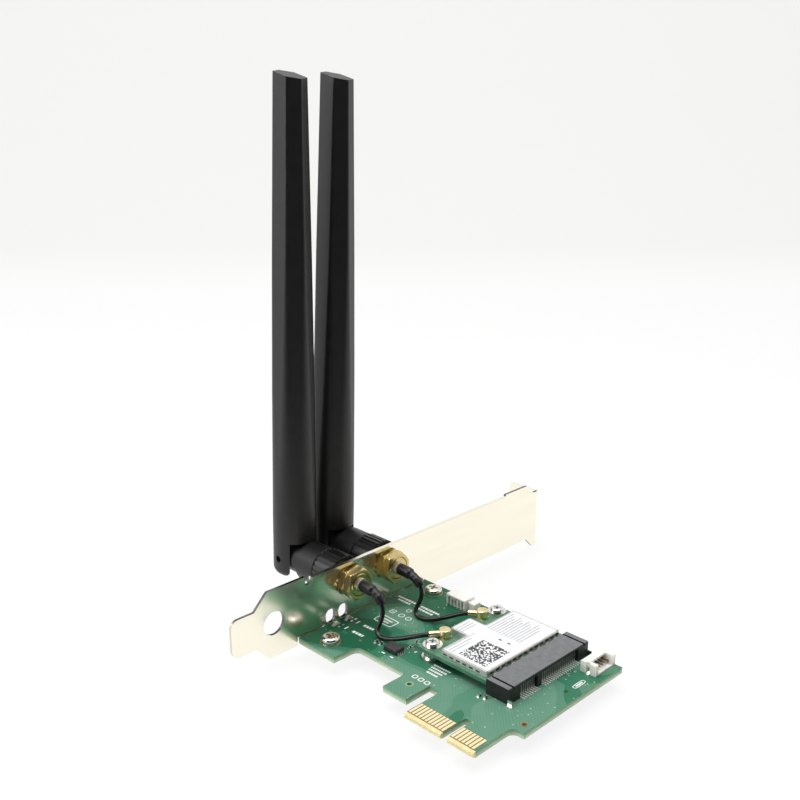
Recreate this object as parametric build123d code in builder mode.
"""Wireless network card: a carrier board with an edge connector, a steel rear bracket, a plug-in radio
module with two coax leads, and two folding rod antennas.

Millimetres, +Z up. The origin is on the key notch's centre line and the carrier board's mid-plane, at the
floor of the slot that the card plugs into, just past the contact tips. +X runs along the board away from the
bracket, +Y away from the slot, and +Z is the component side.
"""

import os
from math import cos, radians, sin, tan

from build123d import *

os.makedirs("parts", exist_ok=True)

# Fits
slip = 0.05  # radial clearance of a turning or threaded fit
seat = 0.02  # clearance of a part that is pressed, soldered or glued in place
free = 0.3  # gap between parts that move past each other

# Carrier board
board_t = 1.57
board_near_x = -54.85
board_far_x = 11.85
board_rear_y = 52.3
board_front_y = 5.3
recess_x0 = -41.1
recess_x1 = -23.4
recess_y = 13.1
recess_r = 1.8
heel_x = -15.6
key_w = 1.9
key_end_y = 9.6
tab_x0 = -12.1
tab_x1 = 8.6
tip_y = 1.2
shelf_y = 14.3
bevel_len = 0.8
bevel_drop = 0.35
tooling_hole_d = 1.2
tooling_holes = [(-19.5, 10.3), (8.6, 34.1), (9.85, 16.95)]

# Edge contacts
finger_pitch = 1.0
finger_w = 0.7
finger_y0 = 2.3
finger_len = 4.3
finger_t = 0.05
fingers_before_key = 11
fingers_after_key = 7
first_finger = 1.5

# Rear bracket
sheet = 0.86
bend_r = 0.5
fold_land = 0.3
bracket_x = -55.35
tongue_y = -14.9
bracket_len = 120.02
bracket_w = 18.42
tongue_len = 7.0
tongue_inset = 4.115
tongue_r = 2.2
lip_start = 24.5
lip_from_end = 17.82
lip_depth = 2.3
nick_w = 1.2
nick_deep = 2.4
end_tab_len = 11.43
end_tab_shift = 3.18
end_tab_r = 1.0
shoulder_from_end = 5.92
shoulder_r = 0.8
notch_w = 4.42
notch_from_plate = 6.35
notch_deep = 5.2
board_tab_len = 12.0
board_tab_w = 7.5
relief_w = 0.9
relief_deep = 2.4
spare_hole_d = 6.4
spare_hole = (12.9, 9.3)
led_window_w = 3.2
led_window_h = 3.9
led_window_z = 4.3
led_windows = (31.4, 35.8)

# Bracket screws
screw_d = 2.9
screw_head_d = 5.0
screw_head_h = 1.7
screw_x = -47.75
screw_y = (10.0, 48.1)

# Antenna jacks
jack_below_lip = 5.59
left_jack_y = 23.05
right_jack_y = 37.0
thread_d = 6.3
jack_flange_d = 8.8
jack_flange_t = 0.5
jack_reach = 5.8
jack_mouth_d = 4.6
jack_mouth_deep = 3.6
washer_t = 0.4
nut_w = 8.0
nut_t = 2.2
nut_gap = 0.12
boss_d = 3.6
boss_t = 0.6
ferrule_d = 2.6
ferrule_len = 3.8
core_d = 1.9
insulator_d = 3.6

# Coax leads
coax_d = 1.2
sleeve_d = 2.4
sleeve_wall = 0.3

# Radio module
module_y = 35.5
module_x0 = -26.95
module_len = 26.8
module_w = 30.0
module_t = 1.0
module_gap = 2.0
module_edge_w = 28.6
module_key_w = 1.5
module_pad_len = 2.4
shield_x0 = -19.95
shield_x1 = -5.05
shield_w = 27.8
shield_h = 1.4
shield_wall = 0.25
neck_x0 = -25.45
neck_w = 7.3
neck_shift = -0.85
label_t = 0.1
label_inset = 0.2
module_screw_x = -24.25
module_screw_span = 24.6
module_screw_d = 1.9
module_flange_d = 5.0
module_flange_t = 0.5
module_head_d = 3.6
module_head_h = 0.9
post_d = 4.4
post_foot_d = 5.6
post_foot_t = 0.25
receptacle_x = -24.95
receptacle_span = 14.3
receptacle_base = 2.6
receptacle_base_t = 0.3
receptacle_d = 2.0
plug_d = 3.1
plug_h = 1.75
arm_d = 1.6
arm_cover = 0.95

# Module socket
socket_x0 = -4.15
socket_x1 = 2.65
socket_len = 30.8
socket_h = 4.0
socket_deep = 4.4
contact_pitch = 0.8
contact_w = 0.34
contact_t = 0.2
short_row = 8
long_row = 18
row_gap = 2.4
lead_window = 0.9
lead_roof = 0.7
lead_foot = 1.1
groove_span = 27.4
groove_w = 0.6
groove_deep = 0.7
hold_l = 1.8
hold_w = 0.8

# Cable headers
header_h = 3.0
header_wall = 0.55
back_wall = 1.2
side_wall = 1.1
ear_deep = 2.6
tab_foot = 1.1
header_pin = 0.4
rear_header_x0 = -40.95
rear_header_x1 = -34.15
rear_header_ear = 2.2
rear_header_y0 = 46.2
rear_header_y1 = 50.1
rear_header_pins = 5
rear_header_pitch = 1.2
side_header_x0 = 5.5
side_header_x1 = 9.95
side_header_y0 = 43.8
side_header_y1 = 52.0
side_header_pins = 5
side_header_pitch = 1.2
roof_cut = 2.2

# Small parts of the carrier board
chip_x = -32.95
chip_y = 18.2
chip_l = 4.4
chip_w = 3.0
chip_h = 1.3
chip_stand = 0.15
chip_pitch = 0.65
chip_lead_rise = 0.8
capacitor_l = 1.0
capacitor_w = 0.55
capacitor_h = 0.55
capacitors_along_x = [(-31.6, 25.3), (-30.9, 22.4)]
capacitors_along_y = [(-39.15, 18.0), (-37.65, 18.2), (-4.5, 18.2), (-2.9, 18.6)]
led_x = -53.4
led_l = 1.6
led_w = 0.9
led_h = 0.8

# Antennas
hinge_reach = 21.74
nut_d = 11.8
nut_end = 0.75
nut_len = 6.6
nut_insert_d = 8.2
rib_count = 28
rib_w = 0.7
rib_h = 0.35
swivel_d = 11.2
swivel_reach = 6.6
tongue_w = 9.2
hinge_pin_d = 1.9
pin_recess = 1.0
foot_d = 12.15
foot_end = 5.3
foot_r = 2.4
slot_w = 9.7
slot_roof = 5.1
blade_len = 130.2
tip_across = 6.8
tip_flat = 5.4
tip_ridge = 8.9
tip_slope = 15.0
blade_wall = 1.3
round_top = 12.0
tip_corner_r = 0.45
cavity_start = 8.0
cavity_top = 6.0
radiator_d = 4.0
radiator_len = 55.0
radiator_wall = 0.4
whip_d = 1.2
whip_len = 30.0
plug_core_d = 4.4
core_deep = 3.5
core_bore_d = 1.8
core_collar_t = 0.5
nut_shoulder = 0.7
lean = {"left": 1.7, "right": 2.4}

# Heights and places that follow
board_top = board_t / 2
bracket_z = -board_top - sheet
jack_z = bracket_z + bracket_w - jack_below_lip
jack_y = {"left": left_jack_y, "right": right_jack_y}
lip_end = bracket_len - lip_from_end
end_shoulder = bracket_len - shoulder_from_end
module_z = board_top + module_gap
module_top = module_z + module_t
bracket_face = Plane(origin=(bracket_x, tongue_y, bracket_z), x_dir=(0, 1, 0), z_dir=(1, 0, 0))
socket_row_x = [i * contact_pitch for i in range(short_row)]
socket_row_x += [row_gap + (short_row - 1 + i) * contact_pitch for i in range(long_row)]
row_middle = (socket_row_x[0] + socket_row_x[-1]) / 2
contact_y = [module_y + place - row_middle for place in socket_row_x]


# Carrier board: glass-fibre laminate with the edge connector's two tabs, its key notch and the heel
with BuildPart() as carrier_board:
    with BuildSketch(Plane.XY.offset(-board_top)) as board_outline:
        with BuildLine():
            Polyline(
                (board_near_x, board_front_y),
                (recess_x0, board_front_y),
                (recess_x0, recess_y),
                (recess_x1, recess_y),
                (recess_x1, board_front_y),
                (heel_x, board_front_y),
                (heel_x, recess_y),
                (tab_x0, recess_y),
                (tab_x0, tip_y),
                (tab_x1, tip_y),
                (tab_x1, shelf_y),
                (board_far_x, shelf_y),
                (board_far_x, board_rear_y),
                (board_near_x, board_rear_y),
                close=True,
            )
        make_face()
        inner = board_outline.vertices().filter_by_position(Axis.Y, recess_y - 0.01, recess_y + 0.01)
        fillet(inner.sort_by(Axis.X)[:2], recess_r)
        fillet(inner.sort_by(Axis.X)[2:], (tab_x0 - heel_x) * 0.45)
        fillet(board_outline.vertices().sort_by_distance((tab_x1, shelf_y))[0], recess_r)
        with Locations((0, (key_end_y - key_w / 2) / 2)):
            Rectangle(key_w, key_end_y - key_w / 2, mode=Mode.SUBTRACT)
        with Locations((0, key_end_y - key_w / 2)):
            Circle(key_w / 2, mode=Mode.SUBTRACT)
        with Locations(*tooling_holes):
            Circle(tooling_hole_d / 2, mode=Mode.SUBTRACT)
        with Locations(*[(screw_x, y) for y in screw_y]):
            Circle(screw_d / 2 + 3 * slip, mode=Mode.SUBTRACT)
    extrude(amount=board_t)
    with BuildSketch(Plane.YZ) as tip_bevel:
        with BuildLine():
            Polyline(
                (tip_y, board_top),
                (tip_y + bevel_len, board_top),
                (tip_y, board_top - bevel_drop),
                close=True,
            )
        make_face()
        mirror(about=Plane.XZ)
    extrude(amount=max(-tab_x0, tab_x1), both=True, mode=Mode.SUBTRACT)
carrier_board.part.label = "carrier_board"
export_step(carrier_board.part, "parts/carrier_board.step")

# Edge contacts: gold-plated pads on both faces of the tabs
finger_x = [-first_finger - finger_pitch * i for i in range(fingers_before_key)]
finger_x += [first_finger + finger_pitch * i for i in range(fingers_after_key)]
with BuildPart() as edge_contacts:
    for face_z in (board_top, -board_top - finger_t):
        with BuildSketch(Plane.XY.offset(face_z)):
            with Locations(*[(x, finger_y0 + finger_len / 2) for x in finger_x]):
                Rectangle(finger_w, finger_len)
        extrude(amount=finger_t)
edge_contacts.part.label = "edge_contacts"
export_step(edge_contacts.part, "parts/edge_contacts.step")

# Rear bracket: one steel blank with a tapered tongue, a folded end tab, a stiffening lip and two board tabs
fold = sheet + bend_r + fold_land
board_tab_v = [y - tongue_y for y in screw_y]


def fold_section(reach):
    """Section of a right-angle fold: its outer corner at the origin, the folded leg along X."""
    with BuildSketch() as section:
        with BuildLine():
            Polyline((0, 0), (reach, 0), (reach, sheet), (sheet, sheet), (sheet, fold), (0, fold), close=True)
        make_face()
        fillet(section.vertices().sort_by_distance((sheet, sheet))[0], bend_r)
        fillet(section.vertices().sort_by_distance((0, 0))[0], sheet + bend_r)
    return section.sketch


with BuildPart() as bracket:
    with BuildSketch(bracket_face) as blank:
        with BuildLine():
            Polyline(
                (0, tongue_inset),
                (tongue_len, tongue_inset),
                (tongue_len + tongue_inset, 0),
                (end_shoulder, 0),
                (end_shoulder + end_tab_shift, -end_tab_shift),
                (bracket_len - fold, -end_tab_shift),
                (bracket_len - fold, bracket_w - end_tab_shift),
                (end_shoulder + end_tab_shift, bracket_w - end_tab_shift),
                (end_shoulder, bracket_w),
                (lip_end + nick_w, bracket_w),
                (lip_end + nick_w, bracket_w - fold),
                (lip_start, bracket_w - fold),
                (lip_start, bracket_w - nick_deep),
                (lip_start - nick_w, bracket_w - nick_deep),
                (lip_start - nick_w, bracket_w),
                (tongue_len + tongue_inset, bracket_w),
                (tongue_len, bracket_w - tongue_inset),
                (0, bracket_w - tongue_inset),
                close=True,
            )
        make_face()
        fillet(blank.vertices().group_by(Axis.X)[0], tongue_r)
        shoulders = blank.vertices().filter_by_position(Axis.X, end_shoulder, end_shoulder + end_tab_shift)
        fillet(shoulders, shoulder_r)
        with Locations(*[(v, fold / 2) for v in board_tab_v]):
            Rectangle(board_tab_w, fold, mode=Mode.SUBTRACT)
        for side in (-1, 1):
            relief_v = [v + side * (board_tab_w + relief_w) / 2 for v in board_tab_v]
            with Locations(*[(v, relief_deep / 2) for v in relief_v]):
                Rectangle(relief_w, relief_deep, mode=Mode.SUBTRACT)
        with Locations(spare_hole):
            Circle(spare_hole_d / 2, mode=Mode.SUBTRACT)
        with Locations(*[(v, led_window_z) for v in led_windows]):
            RectangleRounded(led_window_w, led_window_h, led_window_w * 0.45, mode=Mode.SUBTRACT)
        with Locations(*[(y - tongue_y, jack_z - bracket_z) for y in jack_y.values()]):
            Circle(thread_d / 2 + 3 * slip, mode=Mode.SUBTRACT)
    extrude(amount=-sheet)

    end_corner = (bracket_x, tongue_y + bracket_len, bracket_z - end_tab_shift)
    with BuildSketch(Plane(origin=end_corner, x_dir=(-1, 0, 0), z_dir=(0, 0, 1))):
        add(fold_section(end_tab_len))
    extrude(amount=bracket_w)
    with BuildSketch(Plane(origin=end_corner, x_dir=(-1, 0, 0), z_dir=(0, 1, 0))):
        with Locations((notch_from_plate, (notch_deep - notch_w / 2) / 2)):
            Rectangle(notch_w, notch_deep - notch_w / 2)
        with Locations((notch_from_plate, notch_deep - notch_w / 2)):
            Circle(notch_w / 2)
    extrude(amount=-sheet, mode=Mode.SUBTRACT)
    tab_edges = bracket.edges().filter_by(Axis.Y).group_by(Axis.X)[0]
    fillet(tab_edges, end_tab_r)

    for y in screw_y:
        tab_corner = (bracket_x - sheet, y, bracket_z)
        with BuildSketch(Plane(origin=tab_corner, x_dir=(1, 0, 0), z_dir=(0, -1, 0))):
            add(fold_section(sheet + board_tab_len))
        extrude(amount=board_tab_w / 2, both=True)
    with BuildSketch(Plane.XY.offset(bracket_z)):
        with Locations(*[(screw_x, y) for y in screw_y]):
            Circle(screw_d / 2 + slip)
    extrude(amount=sheet, mode=Mode.SUBTRACT)

    lip_corner = (bracket_x - sheet, tongue_y + lip_start, bracket_z + bracket_w)
    with BuildSketch(Plane(origin=lip_corner, x_dir=(1, 0, 0), z_dir=(0, 1, 0))):
        add(fold_section(lip_depth))
    extrude(amount=lip_end - lip_start)
bracket.part.label = "bracket"
export_step(bracket.part, "parts/bracket.step")

# Bracket screws: pan heads with a cross recess, through the board into the bracket's board tabs
with BuildPart() as bracket_screws:
    with BuildSketch(Plane.XY.offset(bracket_z - free)):
        with Locations(*[(screw_x, y) for y in screw_y]):
            Circle(screw_d / 2)
    extrude(amount=board_top - bracket_z + free)
    with BuildSketch(Plane.XY.offset(board_top)):
        with Locations(*[(screw_x, y) for y in screw_y]):
            Circle(screw_head_d / 2)
    extrude(amount=screw_head_h)
    fillet(bracket_screws.edges().filter_by(GeomType.CIRCLE).group_by(Axis.Z)[-1], screw_head_h * 0.55)
    with BuildSketch(Plane.XY.offset(board_top + screw_head_h)):
        with Locations(*[(screw_x, y) for y in screw_y]):
            Rectangle(screw_head_d * 0.52, screw_head_d * 0.13, rotation=20)
            Rectangle(screw_head_d * 0.13, screw_head_d * 0.52, rotation=20)
    extrude(amount=-screw_head_h * 0.6, taper=8, mode=Mode.SUBTRACT)
bracket_screws.part.label = "bracket_screws"
export_step(bracket_screws.part, "parts/bracket_screws.step")


# Antenna jacks: turned brass bodies through the bracket, each with an insulator and a centre contact
jack_front = bracket_x - sheet
nut_stack = washer_t + 2 * nut_t + nut_gap
jack_rear = bracket_x + nut_stack + nut_gap
boss_x = jack_rear + boss_t
mouth_floor = jack_front - jack_reach + jack_mouth_deep


def jack_plane(y, x):
    """Plane square to a jack's axis at the given x, facing into the case."""
    return Plane(origin=(x, y, jack_z), x_dir=(0, 1, 0), z_dir=(1, 0, 0))


def jack_body(y):
    with BuildPart() as body:
        with BuildSketch(jack_plane(y, jack_front - jack_reach)):
            Circle(thread_d / 2)
        extrude(amount=jack_rear - jack_front + jack_reach)
        chamfer(body.edges().filter_by(GeomType.CIRCLE), 0.25)
        with BuildSketch(jack_plane(y, jack_front - jack_flange_t)):
            Circle(jack_flange_d / 2)
        extrude(amount=jack_flange_t)
        with BuildSketch(jack_plane(y, jack_rear)):
            Circle(boss_d / 2)
        extrude(amount=boss_t)
        with BuildSketch(jack_plane(y, boss_x)):
            Circle(core_d / 2)
        extrude(amount=ferrule_len / 2)
        with BuildSketch(jack_plane(y, jack_front - jack_reach)):
            Circle(jack_mouth_d / 2)
        extrude(amount=jack_mouth_deep, mode=Mode.SUBTRACT)
        with BuildSketch(jack_plane(y, mouth_floor)):
            Circle(insulator_d / 2)
        extrude(amount=jack_rear - nut_t - mouth_floor, mode=Mode.SUBTRACT)
        with BuildSketch(jack_plane(y, jack_rear - nut_t)):
            Circle(coax_d / 2 + slip)
        extrude(amount=nut_t + boss_t + ferrule_len, mode=Mode.SUBTRACT)
    return body


left_jack_body = jack_body(jack_y["left"])
left_jack_body.part.label = "left_jack_body"
export_step(left_jack_body.part, "parts/left_jack_body.step")

right_jack_body = jack_body(jack_y["right"])
right_jack_body.part.label = "right_jack_body"
export_step(right_jack_body.part, "parts/right_jack_body.step")

with BuildPart() as jack_insulators:
    for y in jack_y.values():
        with BuildSketch(jack_plane(y, mouth_floor)):
            Circle(insulator_d / 2 - seat)
            Circle(0.5, mode=Mode.SUBTRACT)
        extrude(amount=jack_rear - nut_t - mouth_floor)
jack_insulators.part.label = "jack_insulators"
export_step(jack_insulators.part, "parts/jack_insulators.step")

with BuildPart() as jack_contacts:
    for y in jack_y.values():
        with BuildSketch(jack_plane(y, mouth_floor - jack_mouth_deep * 0.7)):
            Circle(0.5 - seat)
        extrude(amount=jack_rear - nut_t - mouth_floor + jack_mouth_deep * 0.7)
    fillet(jack_contacts.edges().filter_by(GeomType.CIRCLE).group_by(Axis.X)[0], 0.3)
jack_contacts.part.label = "jack_contacts"
export_step(jack_contacts.part, "parts/jack_contacts.step")

# Jack fixings: a toothed lock washer and two jammed hexagon nuts on each jack, inside the bracket
with BuildPart() as jack_washers:
    for y in jack_y.values():
        with BuildSketch(jack_plane(y, bracket_x)):
            Circle(nut_w / 2)
            with PolarLocations(nut_w / 2, 14):
                Rectangle(1.0, 0.8)
            Circle(thread_d / 2 + slip, mode=Mode.SUBTRACT)
        extrude(amount=washer_t)
jack_washers.part.label = "jack_washers"
export_step(jack_washers.part, "parts/jack_washers.step")

with BuildPart() as jack_nuts:
    for y in jack_y.values():
        for start in (bracket_x + washer_t, bracket_x + washer_t + nut_t + nut_gap):
            with BuildSketch(jack_plane(y, start)):
                RegularPolygon(nut_w / 2, 6, major_radius=False, rotation=40)
            extrude(amount=nut_t)
            with BuildSketch(jack_plane(y, start)):
                Circle(thread_d / 2 + slip)
            extrude(amount=nut_t, mode=Mode.SUBTRACT)
jack_nuts.part.label = "jack_nuts"
export_step(jack_nuts.part, "parts/jack_nuts.step")

with BuildPart() as crimp_ferrules:
    for y in jack_y.values():
        with BuildSketch(jack_plane(y, boss_x)):
            Circle(ferrule_d / 2)
        extrude(amount=ferrule_len)
        with BuildSketch(jack_plane(y, boss_x)):
            Circle(core_d / 2 + seat)
        extrude(amount=ferrule_len / 2 + seat, mode=Mode.SUBTRACT)
        with BuildSketch(jack_plane(y, boss_x)):
            Circle(coax_d / 2 + slip)
        extrude(amount=ferrule_len, mode=Mode.SUBTRACT)
crimp_ferrules.part.label = "crimp_ferrules"
export_step(crimp_ferrules.part, "parts/crimp_ferrules.step")


# Coax leads: thin cables from the jacks to the radio module, each in a shrunk sleeve at its jack
lead_start_x = boss_x + ferrule_len * 0.44
left_route = [
    Vector(lead_start_x, jack_y["left"], jack_z),
    Vector(-43.95, jack_y["left"], jack_z),
    Vector(-41.25, 23.1, 6.4),
    Vector(-41.45, 19.4, 1.4),
    Vector(-36.1, 20.2, 1.65),
    Vector(-28.15, 24.1, 4.85),
    Vector(-26.85, 25.87, 4.9),
]
right_route = [
    Vector(lead_start_x, jack_y["right"], jack_z),
    Vector(-44.05, jack_y["right"], jack_z),
    Vector(-40.65, 37.1, 6.9),
    Vector(-42.2, 34.0, 1.4),
    Vector(-36.6, 34.75, 1.5),
    Vector(-33.5, 37.7, 2.4),
    Vector(-28.85, 39.6, 4.85),
    Vector(-27.12, 40.98, 4.9),
]


def corner_radii(route):
    """Arc radius at each inner point: the arc takes 0.45 of the shorter of the two runs that meet there."""
    radii = []
    for before, here, after in zip(route, route[1:], route[2:]):
        run_in = here - before
        run_out = after - here
        half_turn = radians(run_in.get_angle(run_out)) / 2
        radii.append(0.45 * min(run_in.length, run_out.length) / tan(half_turn))
    return radii


def coax_lead(route):
    with BuildPart() as lead:
        with BuildLine() as path:
            FilletPolyline(*route, radius=corner_radii(route))
        with BuildSketch(Plane(origin=path.line @ 0, z_dir=path.line % 0)):
            Circle(coax_d / 2)
        sweep()
    return lead


def shrink_sleeve(route):
    start = Vector(boss_x + ferrule_len, route[0].Y, route[0].Z)
    mouth = route[2] - (route[2] - route[1]) * 0.46
    with BuildPart() as sleeve:
        with BuildLine() as path:
            FilletPolyline(start, route[1], mouth, radius=corner_radii(route)[0])
        with BuildSketch(Plane(origin=path.line @ 0, z_dir=path.line % 0)):
            Circle(sleeve_d / 2)
            Circle(coax_d / 2 + slip, mode=Mode.SUBTRACT)
        sweep()
        with BuildSketch(jack_plane(start.Y, boss_x)):
            Circle(ferrule_d / 2 + sleeve_wall)
            Circle(ferrule_d / 2 + seat, mode=Mode.SUBTRACT)
        extrude(amount=ferrule_len)
        with BuildSketch(jack_plane(start.Y, boss_x + ferrule_len)):
            Circle(ferrule_d / 2 + sleeve_wall)
            Circle(coax_d / 2 + slip, mode=Mode.SUBTRACT)
        extrude(amount=2 * sleeve_wall, taper=25)
    return sleeve


print("left coax radii", [round(r, 2) for r in corner_radii(left_route)])
print("right coax radii", [round(r, 2) for r in corner_radii(right_route)])

left_coax = coax_lead(left_route)
left_coax.part.label = "left_coax"
export_step(left_coax.part, "parts/left_coax.step")

right_coax = coax_lead(right_route)
right_coax.part.label = "right_coax"
export_step(right_coax.part, "parts/right_coax.step")

left_sleeve = shrink_sleeve(left_route)
left_sleeve.part.label = "left_sleeve"
export_step(left_sleeve.part, "parts/left_sleeve.step")

right_sleeve = shrink_sleeve(right_route)
right_sleeve.part.label = "right_sleeve"
export_step(right_sleeve.part, "parts/right_sleeve.step")


# Coax plugs: gold-plated caps with a crimped arm, snapped over the module's receptacles
def coax_plug(side, route):
    centre_y = module_y + side * receptacle_span / 2
    end = route[-1]
    toward = (end - Vector(receptacle_x, centre_y, end.Z)).normalized()
    arm_plane = Plane(origin=end + toward * arm_cover, z_dir=-toward)
    with BuildPart() as plug:
        with BuildSketch(Plane.XY.offset(module_top + receptacle_base_t + free)):
            with Locations((receptacle_x, centre_y)):
                Circle(plug_d / 2)
        extrude(amount=plug_h)
        fillet(plug.edges().filter_by(GeomType.CIRCLE).group_by(Axis.Z)[-1], 0.3)
        with BuildSketch(arm_plane):
            Circle(arm_d / 2)
        arm_len = arm_cover + (end - Vector(receptacle_x, centre_y, end.Z)).length
        extrude(amount=arm_len - plug_d * 0.42)
        with BuildSketch(Plane.XY.offset(module_top + receptacle_base_t + free)):
            with Locations((receptacle_x, centre_y)):
                Circle(receptacle_d / 2 + slip)
        extrude(amount=plug_h * 0.72, mode=Mode.SUBTRACT)
        with BuildSketch(arm_plane):
            Circle(coax_d / 2 + slip)
        extrude(amount=arm_cover + free, mode=Mode.SUBTRACT)
    return plug


left_coax_plug = coax_plug(-1, left_route)
left_coax_plug.part.label = "left_coax_plug"
export_step(left_coax_plug.part, "parts/left_coax_plug.step")

right_coax_plug = coax_plug(1, right_route)
right_coax_plug.part.label = "right_coax_plug"
export_step(right_coax_plug.part, "parts/right_coax_plug.step")

# Radio module: its own thin board, plugged into the socket and screwed down on two posts
module_end = module_x0 + module_len
module_screw_places = [(module_screw_x, module_y + side * module_screw_span / 2) for side in (-1, 1)]
with BuildPart() as module_board:
    with BuildSketch(Plane.XY.offset(module_z)):
        with Locations((module_x0 + (module_len - socket_deep) / 2, module_y)):
            Rectangle(module_len - socket_deep, module_w)
        with Locations((module_end - socket_deep / 2, module_y)):
            Rectangle(socket_deep, module_edge_w)
        key_gap_y = (contact_y[short_row - 1] + contact_y[short_row]) / 2
        with Locations((module_end - socket_deep / 2, key_gap_y)):
            Rectangle(socket_deep, module_key_w, mode=Mode.SUBTRACT)
        with Locations(*module_screw_places):
            Circle(module_screw_d / 2 + 3 * slip, mode=Mode.SUBTRACT)
    extrude(amount=module_t)
module_board.part.label = "module_board"
export_step(module_board.part, "parts/module_board.step")

with BuildPart() as module_contacts:
    for face_z in (module_top, module_z - finger_t):
        with BuildSketch(Plane.XY.offset(face_z)):
            with Locations(*[(module_end - module_pad_len / 2 - 0.3, y) for y in contact_y]):
                Rectangle(module_pad_len, contact_w * 1.3)
        extrude(amount=finger_t)
module_contacts.part.label = "module_contacts"
export_step(module_contacts.part, "parts/module_contacts.step")


def shield_outline(inset):
    """Outline of the shield can: a wide field with a neck between the two coax plugs."""
    with BuildSketch() as outline:
        with Locations(((shield_x0 + shield_x1) / 2, module_y)):
            Rectangle(shield_x1 - shield_x0, shield_w)
        with Locations(((neck_x0 + shield_x0) / 2 + 0.5, module_y + neck_shift)):
            Rectangle(shield_x0 - neck_x0 + 1.0, neck_w)
        fillet(outline.vertices(), 0.5)
        if inset:
            offset(amount=-inset, mode=Mode.REPLACE)
    return outline.sketch


# Shield can: folded tinplate cover, open below, soldered to the module board
with BuildPart() as module_shield:
    with BuildSketch(Plane.XY.offset(module_top)):
        add(shield_outline(0))
    extrude(amount=shield_h)
    with BuildSketch(Plane.XY.offset(module_top)):
        add(shield_outline(shield_wall))
    extrude(amount=shield_h - shield_wall, mode=Mode.SUBTRACT)
module_shield.part.label = "module_shield"
export_step(module_shield.part, "parts/module_shield.step")

with BuildPart() as module_label:
    with BuildSketch(Plane.XY.offset(module_top + shield_h)):
        add(shield_outline(label_inset))
    extrude(amount=label_t)
module_label.part.label = "module_label"
export_step(module_label.part, "parts/module_label.step")

with BuildPart() as module_receptacles:
    places = [(receptacle_x, module_y + side * receptacle_span / 2) for side in (-1, 1)]
    with BuildSketch(Plane.XY.offset(module_top)):
        with Locations(*places):
            Rectangle(receptacle_base, receptacle_base)
    extrude(amount=receptacle_base_t)
    with BuildSketch(Plane.XY.offset(module_top)):
        with Locations(*places):
            Circle(receptacle_d / 2)
    extrude(amount=receptacle_base_t + free + plug_h * 0.6)
module_receptacles.part.label = "module_receptacles"
export_step(module_receptacles.part, "parts/module_receptacles.step")

# Chip capacitors along the module's free edges
with BuildPart() as module_capacitors:
    edge_x = (shield_x1 + socket_x0) / 2
    edge_y = [module_y + module_w * (i - 3.5) * 0.11 for i in range(8)]
    with BuildSketch(Plane.XY.offset(module_top)):
        with Locations(*[(edge_x, y) for y in edge_y]):
            Rectangle(capacitor_w * 0.9, capacitor_l)
    extrude(amount=capacitor_h * 0.9)
module_capacitors.part.label = "module_capacitors"
export_step(module_capacitors.part, "parts/module_capacitors.step")

# Module screws: small flanged pan heads
with BuildPart() as module_screws:
    with BuildSketch(Plane.XY.offset(module_top)):
        with Locations(*module_screw_places):
            Circle(module_flange_d / 2)
    extrude(amount=module_flange_t)
    with BuildSketch(Plane.XY.offset(module_top + module_flange_t)):
        with Locations(*module_screw_places):
            Circle(module_head_d / 2)
    extrude(amount=module_head_h)
    fillet(module_screws.edges().filter_by(GeomType.CIRCLE).group_by(Axis.Z)[-1], module_head_h * 0.5)
    with BuildSketch(Plane.XY.offset(module_top)):
        with Locations(*module_screw_places):
            Circle(module_screw_d / 2)
    extrude(amount=-module_t - module_gap * 0.7)
    with BuildSketch(Plane.XY.offset(module_top + module_flange_t + module_head_h)):
        with Locations(*module_screw_places):
            Rectangle(module_head_d * 0.5, module_head_d * 0.14, rotation=35)
            Rectangle(module_head_d * 0.14, module_head_d * 0.5, rotation=35)
    extrude(amount=-module_head_h * 0.7, mode=Mode.SUBTRACT)
module_screws.part.label = "module_screws"
export_step(module_screws.part, "parts/module_screws.step")

# Module posts: tinned threaded posts soldered to the carrier board
with BuildPart() as module_posts:
    with BuildSketch(Plane.XY.offset(board_top)):
        with Locations(*module_screw_places):
            Circle(post_d / 2)
            Circle(module_screw_d / 2 + slip, mode=Mode.SUBTRACT)
    extrude(amount=module_gap)
    with BuildSketch(Plane.XY.offset(board_top)):
        with Locations(*module_screw_places):
            Circle(post_foot_d / 2)
            Circle(post_d / 2, mode=Mode.SUBTRACT)
    extrude(amount=post_foot_t)
module_posts.part.label = "module_posts"
export_step(module_posts.part, "parts/module_posts.step")

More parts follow.
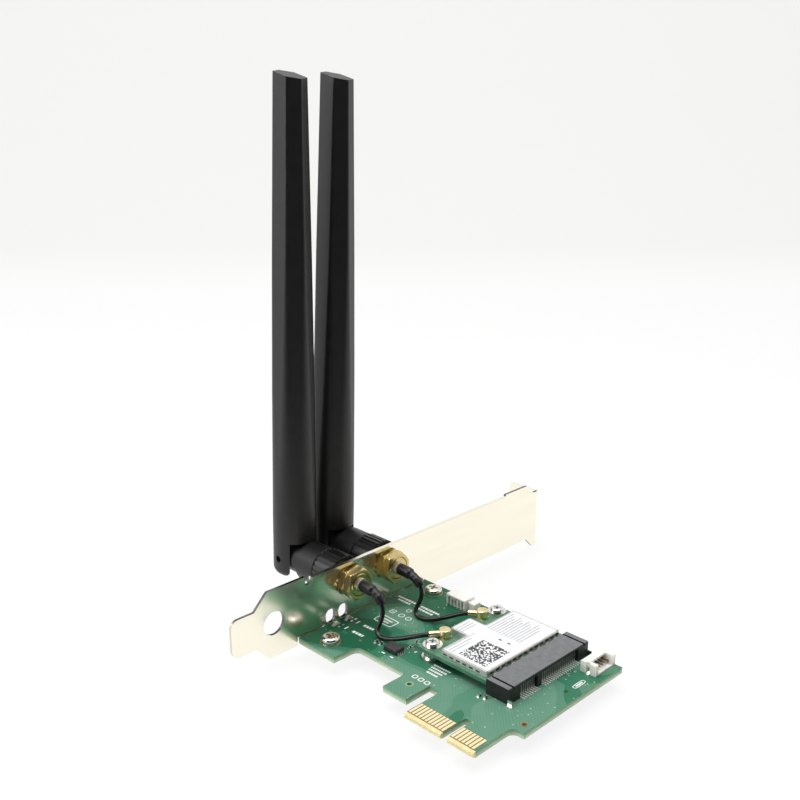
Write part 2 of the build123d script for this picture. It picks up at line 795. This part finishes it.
# Module socket: black moulded housing with a card slot, two grooves across its top and a window for leads
with BuildPart() as socket_housing:
    socket_x = (socket_x0 + socket_x1) / 2
    socket_d = socket_x1 - socket_x0
    with BuildSketch(Plane.XY.offset(board_top)):
        with Locations((socket_x, module_y)):
            Rectangle(socket_d, socket_len)
    extrude(amount=socket_h)
    chamfer(socket_housing.edges().filter_by(Axis.Y).group_by(Axis.Z)[-1], 0.2)
    with BuildSketch(Plane.XY.offset(module_z - 3 * slip)):
        with Locations((socket_x0 + (module_end - socket_x0 + 3 * slip) / 2, module_y)):
            Rectangle(module_end - socket_x0 + 3 * slip, module_edge_w + 6 * slip)
    extrude(amount=module_t + 6 * slip, mode=Mode.SUBTRACT)
    with BuildSketch(Plane.XY.offset(board_top + socket_h)):
        with Locations(*[(socket_x, module_y + side * groove_span / 2) for side in (-1, 1)]):
            Rectangle(socket_d, groove_w)
    extrude(amount=-groove_deep, mode=Mode.SUBTRACT)
    for first, last in ((0, short_row - 1), (short_row, short_row + long_row - 1)):
        with BuildSketch(Plane.XY.offset(board_top)):
            with Locations((socket_x1 - lead_window / 2, (contact_y[first] + contact_y[last]) / 2)):
                Rectangle(lead_window, contact_y[last] - contact_y[first] + contact_pitch)
        extrude(amount=socket_h - lead_roof, mode=Mode.SUBTRACT)
        with BuildSketch(Plane.XY.offset(board_top)):
            with Locations((socket_x0 + lead_window / 2, (contact_y[first] + contact_y[last]) / 2)):
                Rectangle(lead_window, contact_y[last] - contact_y[first] + contact_pitch)
        extrude(amount=module_gap - lead_roof, mode=Mode.SUBTRACT)
socket_housing.part.label = "socket_housing"
export_step(socket_housing.part, "parts/socket_housing.step")


def lead_section(rise, reach):
    """Section of a bent flat lead: a foot along X on the board and a leg that rises at the origin."""
    with BuildSketch() as section:
        with BuildLine():
            Polyline(
                (0, rise),
                (0, 0),
                (reach, 0),
                (reach, contact_t),
                (contact_t, contact_t),
                (contact_t, rise),
                close=True,
            )
        make_face()
    return section.sketch


# Socket contacts: formed tin-plated leads, one row in front of the housing and one under the module
with BuildPart() as socket_contacts:
    for y in contact_y:
        front = (socket_x1 - lead_window + slip, y, board_top)
        with BuildSketch(Plane(origin=front, x_dir=(1, 0, 0), z_dir=(0, -1, 0))):
            add(lead_section(socket_h - lead_roof - slip, lead_window + lead_foot))
        extrude(amount=contact_w / 2, both=True)
        rear = (socket_x0 + lead_window - slip, y, board_top)
        with BuildSketch(Plane(origin=rear, x_dir=(-1, 0, 0), z_dir=(0, 1, 0))):
            add(lead_section(module_gap - lead_roof - slip, lead_window + lead_foot))
        extrude(amount=contact_w / 2, both=True)
socket_contacts.part.label = "socket_contacts"
export_step(socket_contacts.part, "parts/socket_contacts.step")

with BuildPart() as socket_hold_downs:
    hold_x = socket_x1 + hold_l / 2 - 0.4
    hold_y = socket_len / 2 + hold_w / 2
    wing_y = socket_len / 2 + 0.15
    with BuildSketch(Plane.XY.offset(board_top)):
        with Locations(*[(hold_x, module_y + side * hold_y) for side in (-1, 1)]):
            Rectangle(hold_l, hold_w)
    extrude(amount=0.25)
    with BuildSketch(Plane.XY.offset(board_top)):
        with Locations(*[(hold_x, module_y + side * wing_y) for side in (-1, 1)]):
            Rectangle(hold_l * 0.7, 0.25)
    extrude(amount=1.5)
socket_hold_downs.part.label = "socket_hold_downs"
export_step(socket_hold_downs.part, "parts/socket_hold_downs.step")

# Rear header: cream moulded housing, open to the rear, with a low ear at one end
with BuildPart() as rear_header_housing:
    rear_x = (rear_header_x0 + rear_header_x1) / 2
    rear_y = (rear_header_y0 + rear_header_y1) / 2
    rear_len = rear_header_x1 - rear_header_x0
    rear_deep = rear_header_y1 - rear_header_y0
    rear_first = rear_x - (rear_header_pins - 1) / 2 * rear_header_pitch
    rear_pin_x = [rear_first + i * rear_header_pitch for i in range(rear_header_pins)]
    with BuildSketch(Plane.XY.offset(board_top)):
        with Locations((rear_x, rear_y)):
            Rectangle(rear_len, rear_deep)
    extrude(amount=header_h)
    with BuildSketch(Plane.XY.offset(board_top)):
        with Locations((rear_header_x1 + rear_header_ear / 2, rear_header_y1 - ear_deep / 2)):
            Rectangle(rear_header_ear, ear_deep)
    extrude(amount=header_h * 0.72)
    chamfer(rear_header_housing.edges().filter_by(Axis.X).group_by(Axis.Z)[-1], 0.2)
    with BuildSketch(Plane.XY.offset(board_top + header_wall)):
        with Locations((rear_x, rear_header_y1 - (rear_deep - back_wall) / 2)):
            Rectangle(rear_len - 2 * header_wall, rear_deep - back_wall)
    extrude(amount=header_h - 2 * header_wall, mode=Mode.SUBTRACT)
    with BuildSketch(Plane.XY.offset(board_top)):
        with Locations(*[(x, rear_header_y0 + lead_window / 2) for x in rear_pin_x]):
            Rectangle(header_pin + 0.3, lead_window)
    extrude(amount=header_h * 0.8, mode=Mode.SUBTRACT)
    rear_face = (0, rear_header_y0, board_top + header_h * 0.5)
    with BuildSketch(Plane(origin=rear_face, x_dir=(1, 0, 0), z_dir=(0, -1, 0))):
        with Locations(*[(x, 0) for x in rear_pin_x]):
            Rectangle(header_pin + 2 * seat, header_pin + 2 * seat)
    extrude(amount=-rear_deep, mode=Mode.SUBTRACT)
rear_header_housing.part.label = "rear_header_housing"
export_step(rear_header_housing.part, "parts/rear_header_housing.step")


def header_pin_section(deep, tail):
    """Side view of a bent header pin: contact along -X from the origin, leg down and a tail on the board."""
    drop = header_h * 0.5
    half = header_pin / 2
    with BuildSketch() as section:
        with BuildLine():
            Polyline(
                (-deep, half),
                (half, half),
                (half, header_pin - drop),
                (tail, header_pin - drop),
                (tail, -drop),
                (-half, -drop),
                (-half, -half),
                (-deep, -half),
                close=True,
            )
        make_face()
    return section.sketch


with BuildPart() as rear_header_leads:
    for x in rear_pin_x:
        pin_root = (x, rear_header_y0 + header_pin / 2 + slip, board_top + header_h * 0.5)
        with BuildSketch(Plane(origin=pin_root, x_dir=(0, -1, 0), z_dir=(-1, 0, 0))):
            add(header_pin_section(rear_deep - header_wall * 2, lead_foot))
        extrude(amount=header_pin / 2, both=True)
rear_header_leads.part.label = "rear_header_leads"
export_step(rear_header_leads.part, "parts/rear_header_leads.step")

# Side header: cream moulded housing at the board's far edge, open along +X, its roof cut back at the mouth
with BuildPart() as side_header_housing:
    side_x = (side_header_x0 + side_header_x1) / 2
    side_y = (side_header_y0 + side_header_y1) / 2
    side_len = side_header_y1 - side_header_y0
    side_deep = side_header_x1 - side_header_x0
    side_first = side_y - (side_header_pins - 1) / 2 * side_header_pitch
    side_pin_y = [side_first + i * side_header_pitch for i in range(side_header_pins)]
    with BuildSketch(Plane.XY.offset(board_top)):
        with Locations((side_x, side_y)):
            Rectangle(side_deep, side_len)
    extrude(amount=header_h)
    chamfer(side_header_housing.edges().filter_by(Axis.Y).group_by(Axis.Z)[-1], 0.2)
    with BuildSketch(Plane.XY.offset(board_top + header_wall)):
        with Locations((side_header_x1 - (side_deep - back_wall) / 2, side_y)):
            Rectangle(side_deep - back_wall, side_len - 2 * side_wall)
    extrude(amount=header_h - 2 * header_wall, mode=Mode.SUBTRACT)
    with BuildSketch(Plane.XY.offset(board_top + header_h)):
        with Locations((side_header_x1 - roof_cut / 2, side_y)):
            Rectangle(roof_cut, side_len - 2 * side_wall)
    extrude(amount=-2 * header_wall, mode=Mode.SUBTRACT)
    with BuildSketch(Plane.XY.offset(board_top)):
        for side in (-1, 1):
            with Locations((side_x, side_y + side * side_len / 2)):
                Rectangle(1.0, 1.0, mode=Mode.ADD)
    extrude(amount=header_h, mode=Mode.SUBTRACT)
    with BuildSketch(Plane.XY.offset(board_top)):
        with Locations(*[(side_header_x0 + lead_window / 2, y) for y in side_pin_y]):
            Rectangle(lead_window, header_pin + 0.3)
    extrude(amount=header_h * 0.8, mode=Mode.SUBTRACT)
    side_face = (side_header_x0, 0, board_top + header_h * 0.5)
    with BuildSketch(Plane(origin=side_face, x_dir=(0, 1, 0), z_dir=(1, 0, 0))):
        with Locations(*[(y, 0) for y in side_pin_y]):
            Rectangle(header_pin + 2 * seat, header_pin + 2 * seat)
    extrude(amount=side_deep, mode=Mode.SUBTRACT)
side_header_housing.part.label = "side_header_housing"
export_step(side_header_housing.part, "parts/side_header_housing.step")

with BuildPart() as side_header_leads:
    for y in side_pin_y:
        pin_root = (side_header_x0 + header_pin / 2 + slip, y, board_top + header_h * 0.5)
        with BuildSketch(Plane(origin=pin_root, x_dir=(-1, 0, 0), z_dir=(0, 1, 0))):
            add(header_pin_section(side_deep - header_wall * 2, lead_foot))
        extrude(amount=header_pin / 2, both=True)
side_header_leads.part.label = "side_header_leads"
export_step(side_header_leads.part, "parts/side_header_leads.step")

with BuildPart() as side_header_tabs:
    with BuildSketch(Plane.XY.offset(board_top)):
        foot_y = side_len / 2 - 0.5 + tab_foot / 2
        with Locations(*[(side_x, side_y + side * foot_y) for side in (-1, 1)]):
            Rectangle(1.0 - 2 * slip, tab_foot - 2 * slip)
    extrude(amount=0.25)
    with BuildSketch(Plane.XY.offset(board_top)):
        with Locations(*[(side_x, side_y + side * (side_len / 2 - 0.3)) for side in (-1, 1)]):
            Rectangle(1.0 - 2 * slip, 0.25)
    extrude(amount=header_h * 0.6)
side_header_tabs.part.label = "side_header_tabs"
export_step(side_header_tabs.part, "parts/side_header_tabs.step")

# Regulator chip: moulded body with four gull-wing leads at each end
with BuildPart() as chip_body:
    with BuildSketch(Plane.XY.offset(board_top + chip_stand)):
        with Locations((chip_x, chip_y)):
            Rectangle(chip_l, chip_w)
    extrude(amount=chip_h)
    chamfer(chip_body.edges().group_by(Axis.Z)[-1], 0.15)
chip_body.part.label = "chip_body"
export_step(chip_body.part, "parts/chip_body.step")

with BuildPart() as chip_leads:
    for side in (-1, 1):
        for i in range(4):
            root = (chip_x + side * chip_l / 2, chip_y + (i - 1.5) * chip_pitch, board_top)
            with BuildSketch(Plane(origin=root, x_dir=(side, 0, 0), z_dir=(0, -side, 0))):
                with BuildLine():
                    Polyline(
                        (seat, chip_lead_rise),
                        (0.45, chip_lead_rise),
                        (0.65, 0.15),
                        (1.05, 0.15),
                        (1.05, 0),
                        (0.5, 0),
                        (0.3, chip_lead_rise - 0.15),
                        (seat, chip_lead_rise - 0.15),
                        close=True,
                    )
                make_face()
            extrude(amount=0.14, both=True)
chip_leads.part.label = "chip_leads"
export_step(chip_leads.part, "parts/chip_leads.step")

with BuildPart() as board_capacitors:
    with BuildSketch(Plane.XY.offset(board_top)):
        with Locations(*capacitors_along_x):
            Rectangle(capacitor_l, capacitor_w)
        with Locations(*capacitors_along_y):
            Rectangle(capacitor_w, capacitor_l)
    extrude(amount=capacitor_h)
board_capacitors.part.label = "board_capacitors"
export_step(board_capacitors.part, "parts/board_capacitors.step")

# Status lamps: clear chip lamps just behind the bracket's two windows
with BuildPart() as status_lamps:
    with BuildSketch(Plane.XY.offset(board_top)):
        with Locations(*[(led_x, tongue_y + v + 0.2) for v in led_windows]):
            Rectangle(led_w, led_l)
    extrude(amount=led_h * 0.45)
    with BuildSketch(Plane.XY.offset(board_top + led_h * 0.45)):
        with Locations(*[(led_x, tongue_y + v + 0.2) for v in led_windows]):
            Rectangle(led_w, led_l * 0.65)
    extrude(amount=led_h * 0.55, taper=8)
status_lamps.part.label = "status_lamps"
export_step(status_lamps.part, "parts/status_lamps.step")


# Antennas: a knurled coupling nut on the jack, a swivel that turns in it, and a blade hinged on the swivel
hinge_x = jack_front - hinge_reach
nut_front = jack_front - nut_end
nut_back = nut_front - nut_len
swivel_end = hinge_x + swivel_reach
swivel_start = nut_back - free


def coupling_nut(y):
    with BuildPart() as nut:
        with BuildSketch(jack_plane(y, nut_back)):
            Circle(nut_d / 2 - rib_h)
            with PolarLocations(nut_d / 2 - rib_h, rib_count):
                Rectangle(2 * rib_h, rib_w)
        extrude(amount=nut_len)
        with BuildSketch(jack_plane(y, nut_back)):
            Circle(nut_insert_d / 2 + seat)
        extrude(amount=nut_len, mode=Mode.SUBTRACT)
    return nut


def nut_insert(y):
    with BuildPart() as insert:
        with BuildSketch(jack_plane(y, nut_back)):
            Circle(nut_insert_d / 2)
            Circle(plug_core_d / 2 + slip, mode=Mode.SUBTRACT)
        extrude(amount=nut_shoulder)
        with BuildSketch(jack_plane(y, nut_back + nut_shoulder)):
            Circle(nut_insert_d / 2)
            Circle(thread_d / 2 + slip, mode=Mode.SUBTRACT)
        extrude(amount=nut_len - nut_shoulder)
    return insert


def plug_core(y):
    core_start = swivel_start - core_deep
    core_end = mouth_floor - free
    collar = nut_back + nut_shoulder + slip
    with BuildPart() as core:
        with BuildSketch(jack_plane(y, core_start)):
            Circle(plug_core_d / 2)
        extrude(amount=core_end - core_start)
        with BuildSketch(jack_plane(y, collar)):
            Circle(thread_d / 2 - free)
        extrude(amount=core_collar_t)
        with BuildSketch(jack_plane(y, core_start)):
            Circle(core_bore_d / 2)
        extrude(amount=core_end - core_start, mode=Mode.SUBTRACT)
    return core


def blade_planes(side):
    """The hinge's own planes: across the blade, across the swivel's axis and along the hinge pin."""
    hinge = (hinge_x, jack_y[side], jack_z)
    up = (0, sin(radians(lean[side])), cos(radians(lean[side])))
    across = Plane(origin=hinge, x_dir=(1, 0, 0), z_dir=up)
    along_axis = Plane(origin=hinge, x_dir=across.y_dir, z_dir=across.x_dir)
    along_pin = Plane(origin=hinge, x_dir=across.x_dir, z_dir=-across.y_dir)
    return across, along_axis, along_pin


def swivel(side):
    across, along_axis, along_pin = blade_planes(side)
    with BuildPart() as body:
        with BuildSketch(along_axis.offset(swivel_reach)):
            Circle(swivel_d / 2)
        extrude(amount=swivel_start - swivel_end)
        chamfer(body.edges().filter_by(GeomType.CIRCLE), 0.5)
        with BuildSketch(along_axis):
            Circle(tongue_w / 2)
        extrude(amount=swivel_reach + 1)
        with Locations(along_axis):
            Sphere(tongue_w / 2)
        with BuildSketch(along_pin):
            Circle(hinge_pin_d / 2 + slip)
        extrude(amount=tongue_w, both=True, mode=Mode.SUBTRACT)
        with BuildSketch(along_axis.offset(swivel_reach + swivel_start - swivel_end)):
            Circle(plug_core_d / 2 + seat)
        extrude(amount=-core_deep, mode=Mode.SUBTRACT)
        with BuildSketch(along_axis.offset(swivel_reach + swivel_start - swivel_end)):
            Circle(core_bore_d / 2)
        extrude(amount=swivel_end - swivel_start - swivel_reach + hinge_pin_d, mode=Mode.SUBTRACT)
    return body


def hinge_pin(side):
    across, along_axis, along_pin = blade_planes(side)
    with BuildPart() as pin:
        with BuildSketch(along_pin):
            Circle(hinge_pin_d / 2)
        extrude(amount=foot_d / 2 - pin_recess, both=True)
        chamfer(pin.edges().filter_by(GeomType.CIRCLE), 0.2)
    return pin


def blade_section(share):
    """Six-sided section that shrinks from the round foot to the faceted tip; its corners sharpen upwards."""
    flat_y = foot_d + (tip_across - foot_d) * share
    flat_x = foot_d * tan(radians(30)) + (tip_flat - foot_d * tan(radians(30))) * share
    ridge_x = foot_d / cos(radians(30)) + (tip_ridge - foot_d / cos(radians(30))) * share
    corner = (foot_d / 2 - 0.1) * (1 - share) ** 2.6 + tip_corner_r
    with BuildSketch() as section:
        with BuildLine():
            Polyline(
                (ridge_x / 2, 0),
                (flat_x / 2, flat_y / 2),
                (-flat_x / 2, flat_y / 2),
                (-ridge_x / 2, 0),
                (-flat_x / 2, -flat_y / 2),
                (flat_x / 2, -flat_y / 2),
                close=True,
            )
        make_face()
        fillet(section.vertices(), min(corner, foot_d / 2 - 0.1))
    return section.sketch


def blade(side):
    across, along_axis, along_pin = blade_planes(side)
    with BuildPart() as rod:
        taper_len = blade_len - round_top
        for share in (0, 0.12, 0.3, 0.6, 1.02):
            with BuildSketch(across.offset(round_top + share * taper_len)):
                add(blade_section(min(share, 1)))
        loft(ruled=True)
        with BuildSketch(across.offset(round_top)):
            add(blade_section(0))
        extrude(amount=-round_top - foot_end)
        with BuildSketch(along_pin):
            with Locations((0, blade_len / 2)):
                Rectangle(foot_d, blade_len + 2 * foot_end)
            slope_drop = tip_ridge * tan(radians(tip_slope))
            with BuildLine():
                Polyline(
                    (-foot_d, blade_len),
                    (-tip_ridge / 2, blade_len),
                    (tip_ridge / 2, blade_len - slope_drop),
                    (foot_d, blade_len - slope_drop),
                    (foot_d, blade_len + 2 * foot_end),
                    (-foot_d, blade_len + 2 * foot_end),
                    close=True,
                )
            make_face(mode=Mode.SUBTRACT)
        extrude(amount=foot_d, both=True, mode=Mode.INTERSECT)
        fillet(rod.edges().group_by(Axis.Z)[0], foot_r)
        with BuildSketch(along_pin):
            with Locations((0, (slot_roof - 2 * foot_end) / 2)):
                Rectangle(2 * foot_d, slot_roof + 2 * foot_end)
        extrude(amount=slot_w / 2, both=True, mode=Mode.SUBTRACT)
        with BuildSketch(along_pin):
            Circle(hinge_pin_d / 2 + seat)
        extrude(amount=foot_d, both=True, mode=Mode.SUBTRACT)
        with BuildSketch(across.offset(cavity_start)):
            Circle(foot_d / 2 - blade_wall)
        with BuildSketch(across.offset(blade_len - cavity_top)):
            Circle(tip_across / 2 - blade_wall)
        loft(mode=Mode.SUBTRACT)
        with BuildSketch(across):
            Circle(core_bore_d / 2)
        extrude(amount=cavity_start + 1, mode=Mode.SUBTRACT)
    return rod


def radiator(side):
    across, along_axis, along_pin = blade_planes(side)
    with BuildPart() as element:
        with BuildSketch(across.offset(cavity_start)):
            Circle(radiator_d / 2)
        extrude(amount=radiator_len)
        with BuildSketch(across.offset(cavity_start)):
            Circle(radiator_d / 2 - radiator_wall)
        extrude(amount=radiator_len - 2, mode=Mode.SUBTRACT)
        with BuildSketch(across.offset(cavity_start + radiator_len)):
            Circle(whip_d / 2)
        extrude(amount=whip_len)
    return element


for side, y in jack_y.items():
    pieces = {
        "coupling_nut": coupling_nut(y),
        "nut_insert": nut_insert(y),
        "plug_core": plug_core(y),
        "swivel": swivel(side),
        "hinge_pin": hinge_pin(side),
        "blade": blade(side),
        "radiator": radiator(side),
    }
    for piece, builder in pieces.items():
        builder.part.label = f"{side}_{piece}"
        export_step(builder.part, f"parts/{side}_{piece}.step")
